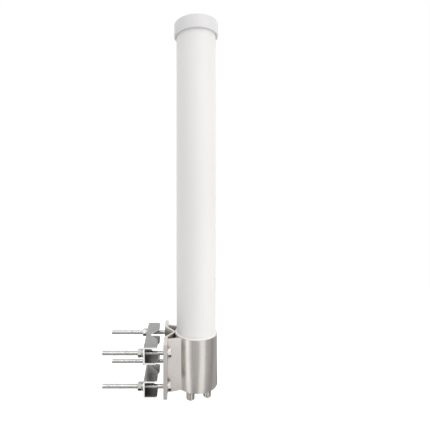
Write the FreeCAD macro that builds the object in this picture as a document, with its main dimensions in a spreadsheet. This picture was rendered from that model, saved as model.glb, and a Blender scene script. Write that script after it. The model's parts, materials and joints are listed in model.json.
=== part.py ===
import FreeCAD, Part
import math
import os
import Sketcher

# Omnidirectional antenna with a mast clamp, in millimetres.
# The origin lies on the axis of the mast that the clamp holds, at the clamp's mid height.
# +Z runs up the mast, +X runs from the mast to the antenna's own axis, and the clamp bolts lie along X.

Vector = FreeCAD.Vector
Rotation = FreeCAD.Rotation

DRIVING_SIZES = {
    # mast and clamp
    "mast_radius": 19.0,
    "vee_half_angle": 54.5,
    "mast_to_antenna": 67.0,
    "clamp_opening": 11.0,
    "bolt_spread": 90.0,
    "bolt_rise": 60.0,
    "bolt_length": 120.0,
    "bolt_radius": 4.0,
    "bolt_tip_chamfer": 1.0,
    "bolt_hole_radius": 4.5,
    "hex_across_flats": 13.0,
    "head_thickness": 5.3,
    "nut_thickness": 6.8,
    "nut_bore_radius": 4.05,
    "hex_chamfer": 0.8,
    "washer_radius": 8.0,
    "washer_bore_radius": 4.3,
    "washer_thickness": 1.6,
    "spring_washer_radius": 7.2,
    "spring_washer_thickness": 2.1,
    "spring_washer_gap": 1.2,
    # pressed steel jaws
    "jaw_length": 114.0,
    "jaw_depth": 24.7,
    "jaw_height": 30.0,
    "jaw_sheet": 2.5,
    "jaw_bend_radius": 3.0,
    "jaw_inner_bend_radius": 1.0,
    "jaw_corner_radius": 5.0,
    # extruded base
    "base_radius": 41.0,
    "base_height": 97.0,
    "base_rise": 1.6,
    "plate_thickness": 7.2,
    "plate_width": 116.0,
    "plate_edge_radius": 1.0,
    "vee_wall": 4.5,
    "web_wall": 4.5,
    "web_foot": 36.7,
    "web_slope": 17.5,
    "web_end_radius": 27.5,
    "socket_depth": 60.0,
    "cavity_radius": 33.0,
    "recess_radius": 39.0,
    # radome and cap
    "radome_radius": 38.0,
    "radome_wall": 3.0,
    "socket_clearance": 0.3,
    "sealant_width": 1.6,
    "cap_radius": 42.5,
    "cap_skirt": 24.5,
    "cap_roof": 3.0,
    "cap_edge_radius": 2.0,
    "cap_top_level": 647.3,
    "cap_gap": 0.5,
    "seal_cord_radius": 1.0,
    "seal_from_rim": 9.0,
    "seal_groove_height": 2.6,
    "seal_groove_depth": 1.85,
    # bottom closure
    "bottom_plate_thickness": 4.0,
    "bottom_plate_radius": 38.8,
    "gasket_thickness": 1.0,
    "cover_screw_circle": 35.8,
    "cover_screw_radius": 1.5,
    "cover_screw_head": 2.8,
    "cover_screw_length": 14.0,
    "screw_drive_radius": 1.05,
    "screw_drive_depth": 2.4,
    "thread_clearance": 0.05,
    "washer_clearance": 0.1,
    "bonded_gap": 0.02,
    # radio ports
    "port_circle": 23.5,
    "port_thread_radius": 7.94,
    "port_mount_radius": 7.2,
    "port_panel_clearance": 0.2,
    "port_reach": 21.2,
    "port_thread_length": 14.0,
    "port_bore_radius": 4.25,
    "port_flange_radius": 9.2,
    "port_flange_thickness": 3.0,
    "port_tail_radius": 5.0,
    "port_tail_length": 15.0,
    "port_nut_across_flats": 19.0,
    "port_nut_thickness": 4.0,
    "port_washer_radius": 9.6,
    "port_washer_thickness": 0.8,
    "port_seal_radius": 8.8,
    "port_seal_thickness": 1.0,
    "port_mouth_depth": 9.0,
    "contact_radius": 1.5,
    "contact_bore": 0.8,
    "contact_reach": 5.3,
    # antenna elements inside the radome
    "spine_radius": 8.0,
    "spine_wall": 1.5,
    "spine_top_gap": 12.0,
    "socket_flange_width": 21.6,
    "socket_flange_thickness": 4.0,
    "socket_boss_radius": 10.4,
    "socket_boss_height": 18.0,
    "socket_screw_circle": 12.4,
    "board_inner": 11.0,
    "board_outer": 31.0,
    "board_thickness": 1.0,
    "board_low": 60.0,
    "board_top": 618.0,
    "copper_thickness": 0.2,
    "copper_margin": 1.5,
    "feed_line_width": 2.4,
    "feed_line_radius": 21.0,
    "feed_line_low_gap": 4.0,
    "feed_line_top_gap": 16.0,
    "dipole_width": 7.0,
    "dipole_length": 26.0,
    "dipole_pitch": 84.0,
    "dipole_first": 56.0,
    "dipole_bridge_level": 12.0,
    "dipole_bridge_height": 2.0,
    "spacer_radius": 34.6,
    "spacer_thickness": 8.0,
    "spacer_slot": 0.2,
    "spacer_slot_end": 0.3,
    "cable_radius": 1.8,
    "cable_end": 76.0,
    "cable_bend": 24.0,
    "vent_radius": 5.0,
    "vent_head_radius": 7.0,
    "vent_head_thickness": 2.5,
}
PORT_ANGLES = [-120.0, -30.0, 60.0, 150.0]  # degrees about the antenna's axis, from +X
SPACER_LEVELS = [110.0, 330.0, 550.0]
DIPOLE_COUNT = 6
PORT_COUNT = len(PORT_ANGLES)
HALF_SIDE = 30.0  # degrees from a hexagon's corner to the middle of its side

doc = FreeCAD.newDocument("omnidirectional_antenna")
sheet = doc.addObject("Spreadsheet::Sheet", "sizes")
for row, (alias, number) in enumerate(DRIVING_SIZES.items(), 1):
    sheet.set("A%d" % row, alias)
    sheet.set("B%d" % row, str(number))
    sheet.setAlias("B%d" % row, alias)
doc.recompute()


class Size:
    """A number together with the sheet expression that gives it."""

    def __init__(self, value, text):
        self.value = value
        self.text = text

    def __add__(self, other):
        return join(self, "+", other, self.value + as_size(other).value)

    def __radd__(self, other):
        return as_size(other) + self

    def __sub__(self, other):
        return join(self, "-", other, self.value - as_size(other).value)

    def __rsub__(self, other):
        return as_size(other) - self

    def __mul__(self, other):
        return join(self, "*", other, self.value * as_size(other).value)

    def __rmul__(self, other):
        return as_size(other) * self

    def __truediv__(self, other):
        return join(self, "/", other, self.value / as_size(other).value)

    def __neg__(self):
        return as_size(0) - self


def as_size(item):
    """The item itself, or a plain number turned into a Size."""
    if isinstance(item, Size):
        return item
    return Size(float(item), "%.6f" % item)


def join(left, sign, right, value):
    """The Size that two sizes make with a sign between them."""
    return Size(value, "(%s %s %s)" % (left.text, sign, as_size(right).text))


def sine(angle):
    return Size(math.sin(math.radians(angle.value)), "sin(%s)" % angle.text)


def cosine(angle):
    return Size(math.cos(math.radians(angle.value)), "cos(%s)" % angle.text)


def tangent(angle):
    return Size(math.tan(math.radians(angle.value)), "tan(%s)" % angle.text)


def cell(alias):
    """A driving size, read from the sheet."""
    return Size(float(sheet.get(alias)), "sizes." + alias)


# Levels and offsets that several pieces share.
axis_x = cell("mast_to_antenna")
base_top = cell("base_rise") + cell("base_height") / 2
base_low = cell("base_rise") - cell("base_height") / 2
plate_front = cell("clamp_opening") / 2
plate_back = plate_front + cell("plate_thickness")
vee_tip = cell("mast_radius") / sine(cell("vee_half_angle"))
vee_slope = tangent(cell("vee_half_angle"))
jaw_front = -plate_front
jaw_back = jaw_front - cell("jaw_depth")
bolt_y = cell("bolt_spread") / 2
bolt_z = cell("bolt_rise") / 2
head_face = plate_back + cell("washer_thickness")
socket_floor = base_top - cell("socket_depth")
cap_low = cell("cap_top_level") - cell("cap_skirt")
cap_ceiling = cell("cap_top_level") - cell("cap_roof")
radome_top = cap_ceiling - cell("cap_gap")
cover_top = base_low + cell("bottom_plate_thickness")
gasket_top = cover_top + cell("gasket_thickness")
cap_bore = cell("radome_radius") + cell("socket_clearance")
socket_radius = cell("radome_radius") + cell("socket_clearance")

nodes = []


def bind(item, path, size):
    """Drives one property of an object from the sheet."""
    item.setExpression(path, as_size(size).text)


def place(item, across=0, deep=0, up=0, rotation=None):
    """Puts an object at a sheet-driven place, after any turn."""
    if rotation is not None:
        item.Placement = FreeCAD.Placement(Vector(0, 0, 0), rotation)
    bind(item, "Placement.Base.x", across)
    bind(item, "Placement.Base.y", deep)
    bind(item, "Placement.Base.z", up)
    return item


def keep(item, name):
    """Makes an object one node of the assembly."""
    item.Label = name
    nodes.append(item)
    return item


def new_body(name):
    return doc.addObject("PartDesign::Body", name)


def sketch_on(body, role, level=0):
    """A sketch on one of the body's own origin planes, raised to a level along the plane's normal."""
    sketch = body.newObject("Sketcher::SketchObject", body.Name + "_sketch")
    plane = next(item for item in body.Origin.OriginFeatures if item.Role == role)
    sketch.AttachmentSupport = [(plane, "")]
    sketch.MapMode = "FlatFace"
    bind(sketch, "AttachmentOffset.Base.z", level)
    return sketch


def tie(sketch, kind, geometry, spot, distance):
    """Holds one point of a sketch at a sheet-driven distance from its origin."""
    if distance.value == 0:
        axis = -2 if kind == "DistanceX" else -1
        sketch.addConstraint(Sketcher.Constraint("PointOnObject", geometry, spot, axis))
        return
    rule = Sketcher.Constraint(kind, -1, 1, geometry, spot, distance.value)
    bind(sketch, "Constraints[%d]" % sketch.addConstraint(rule), distance)


def outline(sketch, corners):
    """Closes straight lines through the corners, each tied to the sheet."""
    points = [(as_size(across), as_size(up)) for across, up in corners]
    ends = [Vector(across.value, up.value, 0) for across, up in points]
    first = len(sketch.Geometry)
    count = len(points)
    for step in range(count):
        sketch.addGeometry(Part.LineSegment(ends[step], ends[(step + 1) % count]), False)
    for step in range(count):
        following = first + (step + 1) % count
        sketch.addConstraint(Sketcher.Constraint("Coincident", first + step, 2, following, 1))
        tie(sketch, "DistanceX", first + step, 1, points[step][0])
        tie(sketch, "DistanceY", first + step, 1, points[step][1])


def ring(sketch, radius, across=0, up=0):
    """A circle with a sheet-driven centre and radius."""
    across, up, radius = as_size(across), as_size(up), as_size(radius)
    circle = Part.Circle(Vector(across.value, up.value, 0), Vector(0, 0, 1), radius.value)
    geometry = sketch.addGeometry(circle, False)
    tie(sketch, "DistanceX", geometry, 3, across)
    tie(sketch, "DistanceY", geometry, 3, up)
    rule = sketch.addConstraint(Sketcher.Constraint("Radius", geometry, radius.value))
    bind(sketch, "Constraints[%d]" % rule, radius)


def pad(body, sketch, length):
    feature = body.newObject("PartDesign::Pad", body.Name + "_pad")
    feature.Profile = sketch
    bind(feature, "Length", length)
    return feature


def pocket(body, sketch, depth):
    """Cuts away from the sketch, against its normal, and makes sure that it removed something."""
    doc.recompute()
    before = body.Shape.Volume
    feature = body.newObject("PartDesign::Pocket", body.Name + "_pocket")
    feature.Profile = sketch
    bind(feature, "Length", depth)
    doc.recompute()
    if body.Shape.Volume >= before:
        raise RuntimeError("a pocket of %s cuts nothing" % body.Name)
    return feature


def fillet(body, radius, chosen):
    """Rounds the edges of the body that the test chooses."""
    doc.recompute()
    base = body.Tip
    names = ["Edge%d" % (place_in + 1) for place_in, edge in enumerate(base.Shape.Edges) if chosen(edge)]
    if not names:
        raise RuntimeError("no edge of %s to round" % body.Name)
    feature = body.newObject("PartDesign::Fillet", body.Name + "_fillet")
    feature.Base = (base, names)
    bind(feature, "Radius", radius)
    doc.recompute()
    return feature


def turned(name, corners):
    """A body turned about its own Z axis from an outline of radius and height."""
    body = new_body(name)
    sketch = sketch_on(body, "XZ_Plane")
    outline(sketch, corners)
    feature = body.newObject("PartDesign::Revolution", name + "_turn")
    feature.Profile = sketch
    feature.ReferenceAxis = (sketch, ["V_Axis"])
    feature.Angle = 360
    return body


def tube(name, outer, inner, low, high):
    """A plain turned ring."""
    return turned(name, [(inner, low), (outer, low), (outer, high), (inner, high)])


def solid_cylinder(name, radius, height, up=0):
    item = doc.addObject("Part::Cylinder", name)
    bind(item, "Radius", radius)
    bind(item, "Height", height)
    return place(item, 0, 0, up)


def solid_box(name, length, width, height, across=0, deep=0, up=0):
    item = doc.addObject("Part::Box", name)
    bind(item, "Length", length)
    bind(item, "Width", width)
    bind(item, "Height", height)
    return place(item, across, deep, up)


def cut(name, base, tool):
    item = doc.addObject("Part::Cut", name)
    item.Base = base
    item.Tool = tool
    return item


def fuse(name, shapes):
    item = doc.addObject("Part::MultiFuse", name)
    item.Shapes = shapes
    return item


def compound(name, members):
    """Separate equal solids that share one node."""
    item = doc.addObject("Part::Compound", name)
    item.Links = members
    return keep(item, name)


def hexagon(name, across_flats, thickness, up=0):
    """A hexagonal block along Z, a flat facing +X, with its corners chamfered at both ends."""
    corner = across_flats / (2 * math.cos(math.radians(HALF_SIDE)))
    prism = doc.addObject("Part::Prism", name + "_prism")
    prism.Polygon = 6
    bind(prism, "Circumradius", corner)
    bind(prism, "Height", thickness)
    place(prism, 0, 0, up, Rotation(Vector(0, 0, 1), HALF_SIDE))
    slope = cell("hex_chamfer") / math.sqrt(3)
    crown = turned(name + "_crown", [
        (0, up),
        (corner - cell("hex_chamfer"), up),
        (corner, up + slope),
        (corner, up + thickness - slope),
        (corner - cell("hex_chamfer"), up + thickness),
        (0, up + thickness),
    ])
    item = doc.addObject("Part::MultiCommon", name + "_block")
    item.Shapes = [prism, crown]
    return item


def nut(name, across_flats, thickness, bore):
    """A hexagonal nut along Z, standing on z = 0."""
    block = hexagon(name, across_flats, thickness)
    drill = solid_cylinder(name + "_drill", bore, thickness + 2, as_size(-1))
    return cut(name, block, drill)


def port_place(item, number, up=0):
    """Puts a piece on the axis of one of the radio ports, turned with it."""
    angle = PORT_ANGLES[number]
    across = axis_x + cell("port_circle") * math.cos(math.radians(angle))
    deep = cell("port_circle") * math.sin(math.radians(angle))
    return place(item, across, deep, up, Rotation(Vector(0, 0, 1), angle))


def between_ports(number):
    """The angle halfway between a port and the next one."""
    return PORT_ANGLES[number] + 45


# Clamp bolts lie along -X: a piece made along +Z is turned so that its +Z becomes -X.
ALONG_BOLT = Rotation(Vector(0, 1, 0), -90)
BOLT_PLACES = [(-1, 1), (1, 1), (-1, -1), (1, -1)]  # side in Y and level in Z, upper pair first


def on_bolt(item, across, side, level):
    """Puts a piece on one bolt's axis."""
    return place(item, across, bolt_y * side, bolt_z * level, ALONG_BOLT)


# ---------------------------------------------------------------- extruded base
def make_base():
    """One aluminium extrusion: tube, two webs and a plate with a vee for the mast, then machined."""
    body = new_body("base")
    height = cell("base_height")
    half_width = cell("plate_width") / 2

    plate = sketch_on(body, "XY_Plane", base_low)
    outline(plate, [(plate_front, -half_width), (plate_back, -half_width),
                    (plate_back, half_width), (plate_front, half_width)])
    pad(body, plate, height)

    vee_back = vee_tip + cell("vee_wall") / sine(cell("vee_half_angle"))
    foot = (vee_back - plate_front) * vee_slope
    vee_block = sketch_on(body, "XY_Plane", base_low)
    outline(vee_block, [(plate_front, -foot), (vee_back, 0), (plate_front, foot)])
    pad(body, vee_block, height)

    # The webs run from the plate to the middle of the tube's wall.
    reach = axis_x - cell("web_end_radius")
    slope = tangent(cell("web_slope"))
    across_web = cell("web_wall") / cosine(cell("web_slope"))
    for side in (-1, 1):
        web = sketch_on(body, "XY_Plane", base_low)
        root = plate_back - 1
        high_root = cell("web_foot") + slope
        high_end = cell("web_foot") - (reach - plate_back) * slope
        outline(web, [(root, side * high_root), (root, side * (high_root - across_web)),
                      (reach, side * (high_end - across_web)), (reach, side * high_end)])
        pad(body, web, height)

    barrel = sketch_on(body, "XY_Plane", base_low)
    ring(barrel, cell("base_radius"), axis_x)
    pad(body, barrel, height)

    groove = sketch_on(body, "XY_Plane", base_top)
    mouth = (vee_tip - plate_front + 1) * vee_slope
    outline(groove, [(plate_front - 1, -mouth), (vee_tip, 0), (plate_front - 1, mouth)])
    pocket(body, groove, height)

    socket = sketch_on(body, "XY_Plane", base_top)
    ring(socket, socket_radius, axis_x)
    pocket(body, socket, cell("socket_depth"))

    cavity = sketch_on(body, "XY_Plane", socket_floor)
    ring(cavity, cell("cavity_radius"), axis_x)
    pocket(body, cavity, height - cell("socket_depth"))

    recess = sketch_on(body, "XY_Plane", gasket_top)
    ring(recess, cell("recess_radius"), axis_x)
    pocket(body, recess, gasket_top - base_low)

    taps = sketch_on(body, "XY_Plane", base_low + cell("cover_screw_length") + 1)
    for number in range(PORT_COUNT):
        angle = math.radians(between_ports(number))
        ring(taps, cell("cover_screw_radius") + cell("thread_clearance"),
             axis_x + cell("cover_screw_circle") * math.cos(angle),
             cell("cover_screw_circle") * math.sin(angle))
    pocket(body, taps, cell("cover_screw_length") + 1)

    bolt_holes = sketch_on(body, "YZ_Plane", plate_back)
    for level in (-1, 1):
        for side in (-1, 1):
            ring(bolt_holes, cell("bolt_hole_radius"), bolt_y * side, bolt_z * level)
    pocket(body, bolt_holes, cell("plate_thickness"))

    def plate_corner(edge):
        low, high = edge.BoundBox.ZMin, edge.BoundBox.ZMax
        at_end = abs(abs(edge.BoundBox.YMin) - half_width.value) < 0.01
        return high - low > height.value - 1 and at_end

    fillet(body, cell("plate_edge_radius"), plate_corner)
    keep(body, "base_extrusion")


# ---------------------------------------------------------------- radome and cap
def make_radome():
    radome = tube("radome", cell("radome_radius"), cell("radome_radius") - cell("radome_wall"),
                  socket_floor, radome_top)
    keep(place(radome, axis_x), "radome_tube")

    skin = cell("bonded_gap")
    adhesive = tube("adhesive", socket_radius - skin, cell("radome_radius") + skin,
                    socket_floor + 1, base_top - 2)
    keep(place(adhesive, axis_x), "radome_adhesive")

    inner = cell("radome_radius") + skin
    bead = turned("bead", [(inner, base_top), (inner + cell("sealant_width"), base_top),
                           (inner, base_top + cell("sealant_width"))])
    keep(place(bead, axis_x), "radome_sealant_bead")


def make_cap():
    groove_low = cap_low + cell("seal_from_rim")
    groove_high = groove_low + cell("seal_groove_height")
    groove_radius = cap_bore + cell("seal_groove_depth")
    cap = turned("cap", [
        (cap_bore, cap_low),
        (cell("cap_radius"), cap_low),
        (cell("cap_radius"), cell("cap_top_level")),
        (0, cell("cap_top_level")),
        (0, cap_ceiling),
        (cap_bore, cap_ceiling),
        (cap_bore, groove_high),
        (groove_radius, groove_high),
        (groove_radius, groove_low),
        (cap_bore, groove_low),
    ])

    def top_edge(edge):
        box = edge.BoundBox
        return box.ZMin > cell("cap_top_level").value - 0.01 and box.XLength > 2 * cell("radome_radius").value

    fillet(cap, cell("cap_edge_radius"), top_edge)
    keep(place(cap, axis_x), "top_cap")

    seal = doc.addObject("Part::Torus", "seal")
    bind(seal, "Radius1", cell("radome_radius") + cell("seal_cord_radius") + cell("thread_clearance"))
    bind(seal, "Radius2", cell("seal_cord_radius"))
    keep(place(seal, axis_x, 0, groove_low + cell("seal_groove_height") / 2), "cap_seal_ring")


# ---------------------------------------------------------------- bottom closure
def make_bottom():
    screw_ring = cell("cover_screw_circle")
    socket_ring = cell("socket_screw_circle")

    def drill_screws(body, top, depth, radius, circle):
        holes = sketch_on(body, "XY_Plane", top)
        for number in range(PORT_COUNT):
            angle = math.radians(between_ports(number))
            ring(holes, radius, circle * math.cos(angle), circle * math.sin(angle))
        pocket(body, holes, depth)

    plate = new_body("cover")
    disc = sketch_on(plate, "XY_Plane", base_low)
    ring(disc, cell("bottom_plate_radius"))
    pad(plate, disc, cell("bottom_plate_thickness"))
    ports = sketch_on(plate, "XY_Plane", cover_top)
    ring(ports, cell("vent_radius") + cell("thread_clearance"))
    for angle in PORT_ANGLES:
        turn = math.radians(angle)
        ring(ports, cell("port_mount_radius") + cell("port_panel_clearance"),
             cell("port_circle") * math.cos(turn), cell("port_circle") * math.sin(turn))
    pocket(plate, ports, cell("bottom_plate_thickness"))
    drill_screws(plate, cover_top, cell("bottom_plate_thickness"),
                 cell("cover_screw_head") + cell("thread_clearance"), screw_ring)
    drill_screws(plate, cover_top, cell("bottom_plate_thickness"),
                 cell("cover_screw_head") + cell("thread_clearance"), socket_ring)
    keep(place(plate, axis_x), "bottom_plate")

    gasket = new_body("gasket")
    flat = sketch_on(gasket, "XY_Plane", cover_top)
    ring(flat, cell("bottom_plate_radius"))
    ring(flat, cell("cavity_radius"))
    pad(gasket, flat, cell("gasket_thickness"))
    drill_screws(gasket, gasket_top, cell("gasket_thickness"),
                 cell("cover_screw_radius") + cell("washer_clearance"), screw_ring)
    keep(place(gasket, axis_x), "bottom_gasket")

    def screws(name, circle, length, head_height):
        """Cap screws sunk in the bottom plate."""
        members = []
        for number in range(PORT_COUNT):
            label = "%s_%d" % (name, number)
            drive = cell("screw_drive_radius")
            drive_top = base_low + cell("screw_drive_depth")
            screw = turned(label, [
                (drive, base_low), (cell("cover_screw_head"), base_low),
                (cell("cover_screw_head"), base_low + head_height),
                (cell("cover_screw_radius"), base_low + head_height),
                (cell("cover_screw_radius"), base_low + length),
                (0, base_low + length),
                (0, drive_top), (drive, drive_top),
            ])
            angle = math.radians(between_ports(number))
            members.append(place(screw, axis_x + circle * math.cos(angle), circle * math.sin(angle)))
        compound(name, members)

    screws("bottom_plate_screws", screw_ring, cell("cover_screw_length"), cell("bottom_plate_thickness"))
    screws("spine_socket_screws", socket_ring,
           cell("bottom_plate_thickness") + cell("socket_flange_thickness"), cell("bottom_plate_thickness"))

    vent = turned("vent", [
        (0, base_low - cell("vent_head_thickness")),
        (cell("vent_head_radius"), base_low - cell("vent_head_thickness")),
        (cell("vent_head_radius"), base_low),
        (cell("vent_radius"), base_low),
        (cell("vent_radius"), cover_top),
        (0, cover_top),
    ])
    keep(place(vent, axis_x), "vent_plug")


# ---------------------------------------------------------------- radio ports
def make_ports():
    port_low = base_low - cell("port_reach")
    thread_top = port_low + cell("port_thread_length")
    seal_top = cover_top + cell("port_seal_thickness")
    flange_top = seal_top + cell("port_flange_thickness")
    tail_top = flange_top + cell("port_tail_length")
    mouth_top = port_low + cell("port_mouth_depth")
    bore = cell("port_bore_radius")
    washer_low = base_low - cell("port_washer_thickness")
    nut_low = washer_low - cell("port_nut_thickness")
    nuts, washers, seals = [], [], []
    for number in range(PORT_COUNT):
        shell = turned("port%d" % number, [
            (bore, port_low),
            (cell("port_thread_radius"), port_low),
            (cell("port_thread_radius"), thread_top),
            (cell("port_mount_radius"), thread_top),
            (cell("port_mount_radius"), seal_top),
            (cell("port_flange_radius"), seal_top),
            (cell("port_flange_radius"), flange_top),
            (cell("port_tail_radius"), flange_top),
            (cell("port_tail_radius"), tail_top),
            (bore, tail_top),
        ])
        keep(port_place(shell, number), "rf_connector_%d" % (number + 1))

        core = tube("core%d" % number, bore - cell("bonded_gap"),
                    cell("contact_radius") + cell("bonded_gap"), mouth_top, tail_top)
        keep(port_place(core, number), "rf_insulator_%d" % (number + 1))

        contact = turned("contact%d" % number, [
            (cell("contact_bore"), mouth_top - cell("contact_reach")),
            (cell("contact_radius"), mouth_top - cell("contact_reach")),
            (cell("contact_radius"), tail_top),
            (0, tail_top),
            (0, mouth_top),
            (cell("contact_bore"), mouth_top),
        ])
        keep(port_place(contact, number), "rf_contact_%d" % (number + 1))

        port_nut = nut("port_nut%d" % number, cell("port_nut_across_flats"),
                       cell("port_nut_thickness"), cell("port_mount_radius") + cell("thread_clearance"))
        nuts.append(port_place(port_nut, number, nut_low))
        loose_bore = cell("port_mount_radius") + cell("washer_clearance")
        washer = tube("port_washer%d" % number, cell("port_washer_radius"), loose_bore, washer_low, base_low)
        washers.append(port_place(washer, number))
        seal = tube("port_seal%d" % number, cell("port_seal_radius"), loose_bore, cover_top, seal_top)
        seals.append(port_place(seal, number))
    compound("rf_connector_nuts", nuts)
    compound("rf_lock_washers", washers)
    compound("rf_panel_seals", seals)
    return tail_top


# ---------------------------------------------------------------- elements inside the radome
def make_cable(name, number, start):
    """A rigid coaxial feed from a port up to its board: two straight ends and an S bend between them."""
    body = new_body(name)
    shift = (cell("board_thickness") / 2 + cell("copper_thickness")
             + cell("cable_radius") + cell("thread_clearance"))
    inward = cell("port_circle") - cell("feed_line_radius")
    offset = math.hypot(shift.value, inward.value)
    heading = math.degrees(math.atan2(shift.value, -inward.value))
    radius = cell("cable_bend").value
    # Each arc of the S turns through the same angle, so that together they shift the cable sideways.
    turn = math.acos(1 - offset / (2 * radius))
    low = (start.value + cell("board_low").value) / 2
    path = body.newObject("Sketcher::SketchObject", name + "_path")
    plane = next(item for item in body.Origin.OriginFeatures if item.Role == "XZ_Plane")
    path.AttachmentSupport = [(plane, "")]
    path.MapMode = "FlatFace"
    middle = Vector(radius * (1 - math.cos(turn)), low + radius * math.sin(turn), 0)
    high = low + 2 * radius * math.sin(turn)
    normal = Vector(0, 0, 1)
    first_circle = Part.Circle(Vector(radius, low, 0), normal, radius)
    last_circle = Part.Circle(Vector(offset - radius, high, 0), normal, radius)
    first_arc = Part.ArcOfCircle(first_circle, math.pi - turn, math.pi)
    last_arc = Part.ArcOfCircle(last_circle, -turn, 0)
    path.addGeometry([
        Part.LineSegment(Vector(0, start.value, 0), Vector(0, low, 0)),
        first_arc,
        last_arc,
        Part.LineSegment(Vector(offset, high, 0), Vector(offset, cell("cable_end").value, 0)),
    ], False)
    path.addConstraint(Sketcher.Constraint("Tangent", 0, 2, 1, 2))
    path.addConstraint(Sketcher.Constraint("Tangent", 1, 1, 2, 1))
    path.addConstraint(Sketcher.Constraint("Tangent", 2, 2, 3, 1))
    path.addConstraint(Sketcher.Constraint("Vertical", 0))
    path.addConstraint(Sketcher.Constraint("Vertical", 3))
    tie(path, "DistanceX", 0, 1, as_size(0))
    tie(path, "DistanceY", 0, 1, start)
    tie(path, "DistanceY", 0, 2, (start + cell("board_low")) / 2)
    tie(path, "DistanceX", 3, 2, as_size(offset))
    tie(path, "DistanceY", 3, 2, cell("cable_end"))
    for arc in (1, 2):
        rule = path.addConstraint(Sketcher.Constraint("Radius", arc, radius))
        bind(path, "Constraints[%d]" % rule, cell("cable_bend"))
    section = sketch_on(body, "XY_Plane", start)
    ring(section, cell("cable_radius"))
    doc.recompute()
    pipe = body.newObject("PartDesign::AdditivePipe", name + "_pipe")
    pipe.Profile = section
    pipe.Spine = (path, ["Edge1", "Edge2", "Edge3", "Edge4"])
    angle = PORT_ANGLES[number]
    turned_place = port_place(body, number)
    turned_place.Placement = FreeCAD.Placement(turned_place.Placement.Base,
                                               Rotation(Vector(0, 0, 1), angle + heading))
    keep(body, name)
    doc.recompute()
    length = (low - start.value) + 2 * radius * turn + (cell("cable_end").value - high)
    print("%s: length %.1f mm, bend radius %.1f mm, volume ratio %.4f" % (
        name, length, radius, body.Shape.Volume / (math.pi * cell("cable_radius").value ** 2 * length)))


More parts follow.
